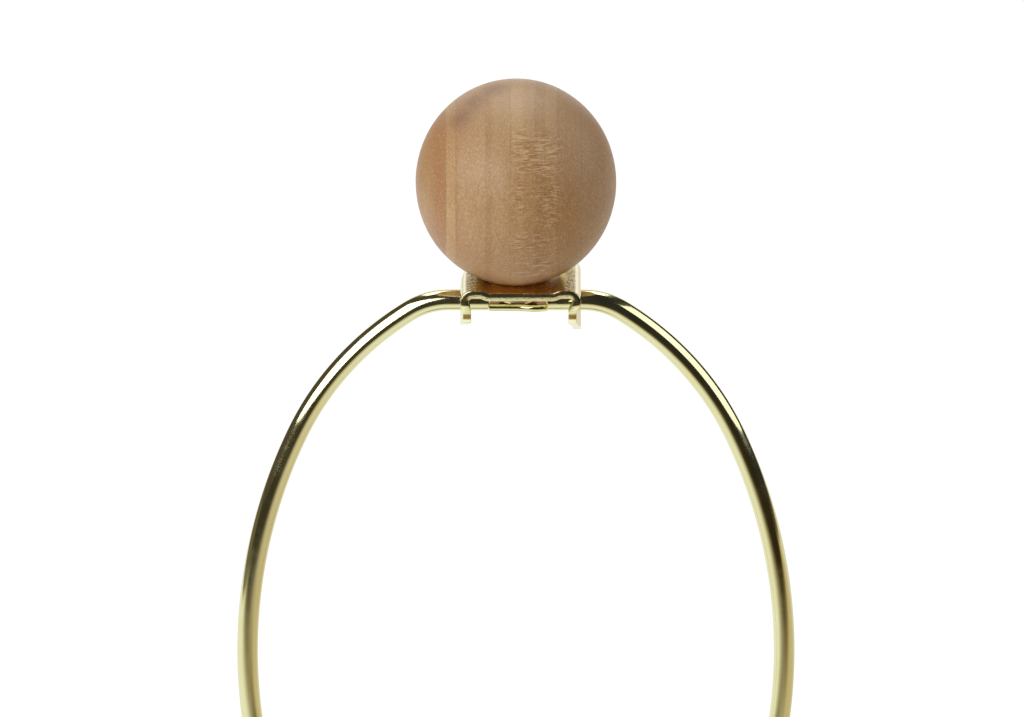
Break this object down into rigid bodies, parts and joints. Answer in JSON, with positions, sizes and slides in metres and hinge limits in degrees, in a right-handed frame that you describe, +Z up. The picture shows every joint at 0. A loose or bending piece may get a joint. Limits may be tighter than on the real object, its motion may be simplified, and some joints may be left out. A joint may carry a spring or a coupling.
{
  "type": "lamp harp with ball finial",
  "caption": "Brass-plated wire lamp harp: a pear-shaped bow on a saddle with locking ferrules, a stamped top bracket on a coined flat, and a turned wooden ball finial screwed to it",
  "frame": {"origin": "on the underside plane of the saddle, below the middle of the bow", "axes": "+Z up along the bow's height, +X along the straight top of the bow to the right, +Y away from the viewer through the bow's plane"},
  "size_m": [0.1064, 0.0382, 0.231],
  "materials": {
    "plated_wire": "polished",
    "stamped_brass": "polished, with brushed cut edges",
    "turned_brass": "machined",
    "drawn_brass": "polished",
    "maple": "satin"
  },
  "bodies": {
    "saddle": {"saddle": "stamped_brass"},
    "bow": {"bow_wire": "plated_wire"},
    "ferrule_left": {"ferrule_left": "drawn_brass"},
    "ferrule_right": {"ferrule_right": "drawn_brass"},
    "bracket": {"top_bracket": "stamped_brass", "finial_stud": "turned_brass"},
    "thread_rise": {"finial_insert": "turned_brass"},
    "finial": {"finial_ball": "maple"}
  },
  "joints": [
    {"name": "bow_lift", "type": "slide", "parent": "saddle", "child": "bow", "axis": [0, 0, 1], "range_m": [0, 0.025]},
    {"name": "ferrule_left_slide", "type": "slide", "parent": "bow", "child": "ferrule_left", "axis": [0, 0, 1], "range_m": [0, 0.0125]},
    {"name": "ferrule_right_slide", "type": "slide", "parent": "bow", "child": "ferrule_right", "axis": [0, 0, 1], "range_m": [0, 0.0125]},
    {"name": "bracket_swivel", "type": "hinge", "parent": "bow", "child": "bracket", "pos_m": [0, 0, 0.18767], "axis": [1, 0, 0], "range_deg": [-4, 4]},
    {"name": "finial_rise", "type": "slide", "parent": "bracket", "child": "thread_rise", "axis": [0, 0, 1], "range_m": [0, 0.0085]},
    {"name": "finial_turn", "type": "hinge", "parent": "thread_rise", "child": "finial", "pos_m": [0, 0, 0.2112], "axis": [0, 0, 1], "range_deg": [0, 3240]}
  ],
  "couplings": [
    {"joint": "finial_rise", "follows": "finial_turn", "m_per_rad": 0.00014972}
  ]
}
